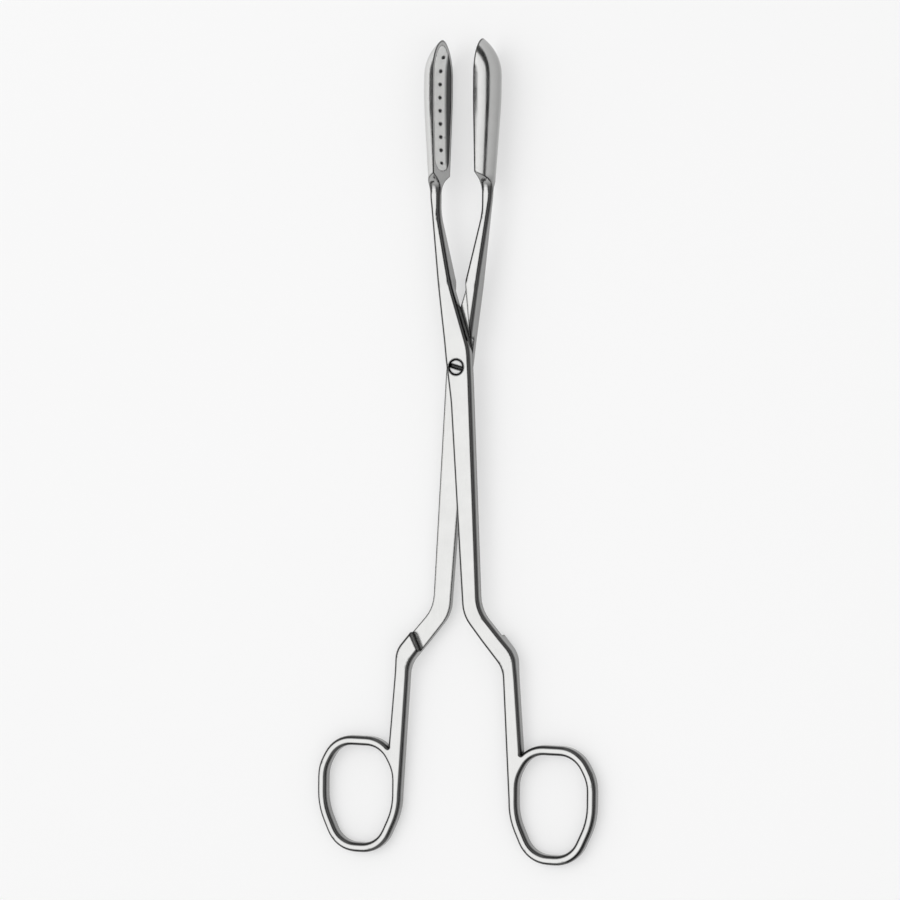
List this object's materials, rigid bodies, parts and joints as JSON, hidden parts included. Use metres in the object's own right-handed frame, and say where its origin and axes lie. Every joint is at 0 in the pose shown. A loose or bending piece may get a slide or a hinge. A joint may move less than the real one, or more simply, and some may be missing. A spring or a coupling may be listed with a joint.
{
  "type": "placenta forceps",
  "caption": "Long steel forceps with studded spoon jaws, a screwed lap joint, cranked handles and egg-shaped finger rings.",
  "frame": {"origin": "on the axis of the pivot screw, in the middle of the joint's thickness, between the two laps", "axes": "+Y along the instrument from the screw to the tips of the jaws, +Z along the screw out of its slotted head, +X towards the finger ring of the front arm"},
  "size_m": [0.0966, 0.2646, 0.0176],
  "materials": {
    "arm_steel": "satin polished stainless steel",
    "screw_steel": "turned stainless steel, slotted"
  },
  "bodies": {
    "rear_half": {"rear_arm": "arm_steel", "pivot_screw": "screw_steel"},
    "front_half": {"front_arm": "arm_steel"}
  },
  "joints": [
    {"name": "jaw_pivot", "type": "hinge", "parent": "rear_half", "child": "front_half", "pos_m": [0, 0, 0], "axis": [0, 0, 1], "range_deg": [-7.4, 60]}
  ]
}
